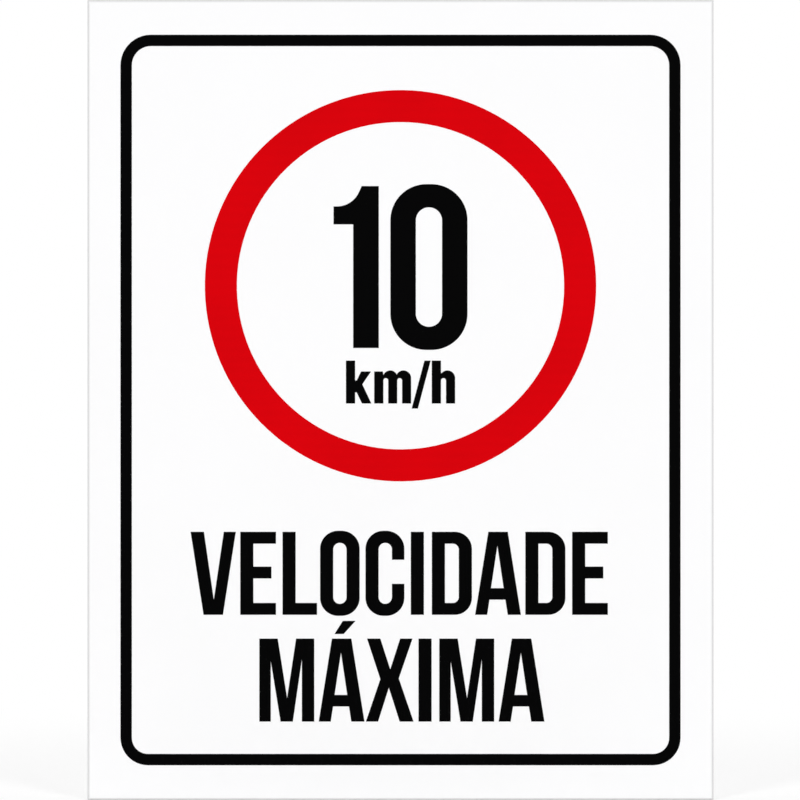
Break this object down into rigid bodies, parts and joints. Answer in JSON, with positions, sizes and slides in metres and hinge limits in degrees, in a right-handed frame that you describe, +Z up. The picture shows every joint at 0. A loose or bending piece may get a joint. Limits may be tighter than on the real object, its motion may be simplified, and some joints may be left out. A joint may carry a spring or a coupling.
{
  "type": "speed limit sign",
  "caption": "Upright white rectangular sheet sign with a black rounded border line, a red ring round a black speed figure, and black words below.",
  "frame": {"origin": "middle of the sheet's back face, which goes against the wall, post or fence", "axes": "+Z up the sign, +X to the right of whoever reads it, +Y out of the back towards what carries it, so the face looks along -Y"},
  "size_m": [0.36, 0.0021, 0.46],
  "materials": {
    "white_sheet": "white rigid foamed vinyl sheet, satin",
    "black_print": "black print, satin",
    "red_print": "red print, satin"
  },
  "bodies": {
    "root": {"sign_sheet": "white_sheet", "border_line": "black_print", "red_ring": "red_print", "figure_one": "black_print", "figure_zero": "black_print"}
  },
  "joints": []
}
